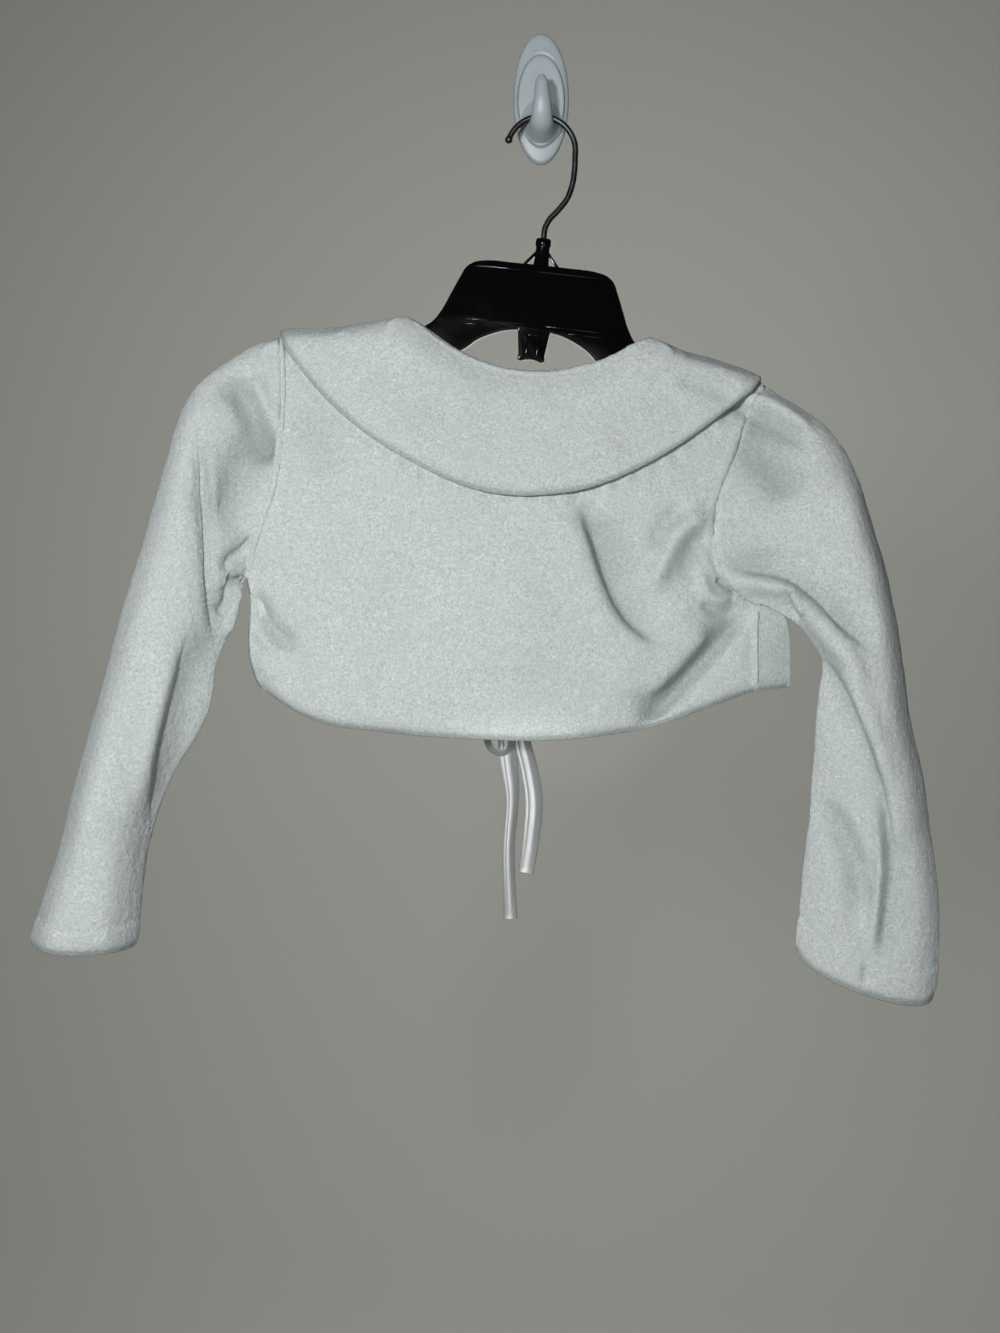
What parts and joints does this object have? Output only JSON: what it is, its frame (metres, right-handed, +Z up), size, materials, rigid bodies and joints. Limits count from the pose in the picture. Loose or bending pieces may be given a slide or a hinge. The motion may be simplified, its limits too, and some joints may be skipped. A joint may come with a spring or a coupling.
{
  "type": "child's fleece bolero jacket on a hanger and wall hook",
  "caption": "Cropped fleece bolero with a wide rounded collar, long set-in sleeves and satin ties, hung by a plastic hanger on an oval wall hook.",
  "frame": {"origin": "centre of the wall hook's flat back face, on the wall", "axes": "+Y out of the wall hook's back face into the wall, +Z up, +X to the right of a viewer who sees the back of the jacket"},
  "size_m": [0.4581, 0.0499, 0.4964],
  "materials": {
    "fleece": "white polyester fleece with a short matted nap",
    "satin": "silvery white satin",
    "black_plastic": "glossy moulded black",
    "steel_wire": "dark drawn steel wire",
    "white_plastic": "glossy pale bluish white"
  },
  "bodies": {
    "root": {"back": "fleece", "front_left": "fleece", "front_right": "fleece", "sleeve_left": "fleece", "sleeve_right": "fleece", "collar": "fleece", "tie_knot": "satin", "tie_end_left": "satin", "tie_end_right": "satin", "tie_loop_left": "satin", "tie_loop_right": "satin", "hanger_body": "black_plastic", "hanger_hook": "steel_wire", "wall_hook": "white_plastic"}
  },
  "joints": []
}
